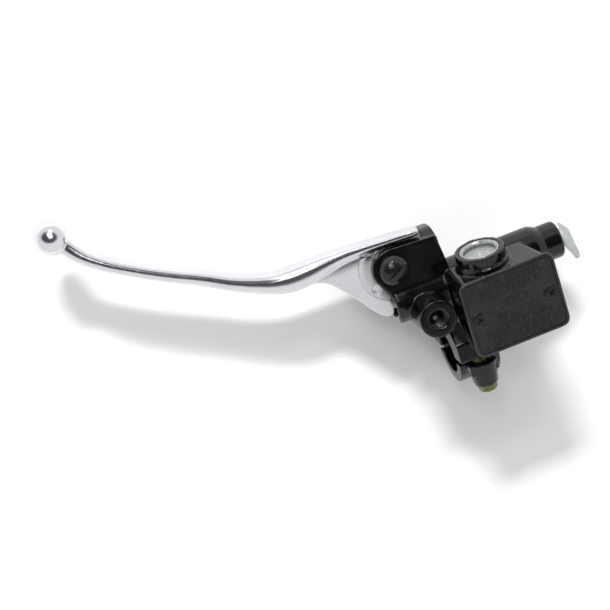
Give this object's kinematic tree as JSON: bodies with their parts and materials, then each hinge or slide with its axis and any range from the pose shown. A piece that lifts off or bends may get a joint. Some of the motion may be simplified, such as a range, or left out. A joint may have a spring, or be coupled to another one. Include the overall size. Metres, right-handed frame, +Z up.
{
  "type": "hydraulic brake lever and master cylinder",
  "caption": "Left-hand hydraulic brake lever on a handlebar-clamp master cylinder with a square fluid reservoir, round level window and mirror boss.",
  "frame": {"origin": "centre of the handlebar clamp bore, at the middle of the clamp's width", "axes": "+X along the handlebar towards the hose port, +Y away from the handlebar on the lever side, +Z up through the reservoir cover"},
  "size_m": [0.2476, 0.1533, 0.0582],
  "materials": {
    "cast_black": "gloss black paint on cast aluminium",
    "cover_charcoal": "matt charcoal moulding",
    "black_steel": "black plated steel",
    "rubber": "moulded EPDM rubber",
    "plated_steel": "zinc plated",
    "bright_metal": "bright satin",
    "clear_lens": "clear moulded lens",
    "olive_steel": "olive chromated steel",
    "lever_aluminium": "satin silver",
    "nylon": "natural nylon",
    "bronze": "sintered bronze",
    "clear_plastic": "translucent moulding"
  },
  "bodies": {
    "cylinder": {"master_cylinder_body": "cast_black", "handlebar_clamp_cap": "cast_black", "reservoir_cover": "cover_charcoal", "cover_screw_left": "black_steel", "cover_screw_right": "black_steel", "reservoir_diaphragm": "rubber", "diaphragm_plate": "plated_steel", "splash_plate": "plated_steel", "sight_glass_bezel": "bright_metal", "sight_glass_lens": "clear_lens", "sight_glass_seal": "rubber", "level_reflector": "bright_metal", "clamp_bolt_upper": "olive_steel", "clamp_bolt_lower": "olive_steel", "pivot_screw": "black_steel", "pivot_nut": "plated_steel", "return_spring": "plated_steel", "piston_stop_washer": "plated_steel", "circlip": "plated_steel", "dust_boot": "rubber", "hose_port_plug": "clear_plastic"},
    "lever": {"brake_lever": "lever_aluminium", "lever_pusher_pad": "nylon", "pivot_bush": "bronze"},
    "piston": {"piston": "plated_steel", "primary_cup": "rubber", "secondary_cup": "rubber", "spring_seat": "plated_steel"}
  },
  "joints": [
    {"name": "lever_pivot", "type": "hinge", "parent": "cylinder", "child": "lever", "pos_m": [-0.0257, 0.053, 0], "axis": [0, 0, 1], "range_deg": [0, 20], "stiffness_Nm_per_rad": 1.3, "springref_deg": -28.65},
    {"name": "piston_slide", "type": "slide", "parent": "cylinder", "child": "piston", "axis": [1, 0, 0], "range_m": [0, 0.0067], "deforming": ["return_spring"]}
  ],
  "couplings": [
    {"joint": "piston_slide", "follows": "lever_pivot", "m_per_rad": 0.0186}
  ]
}
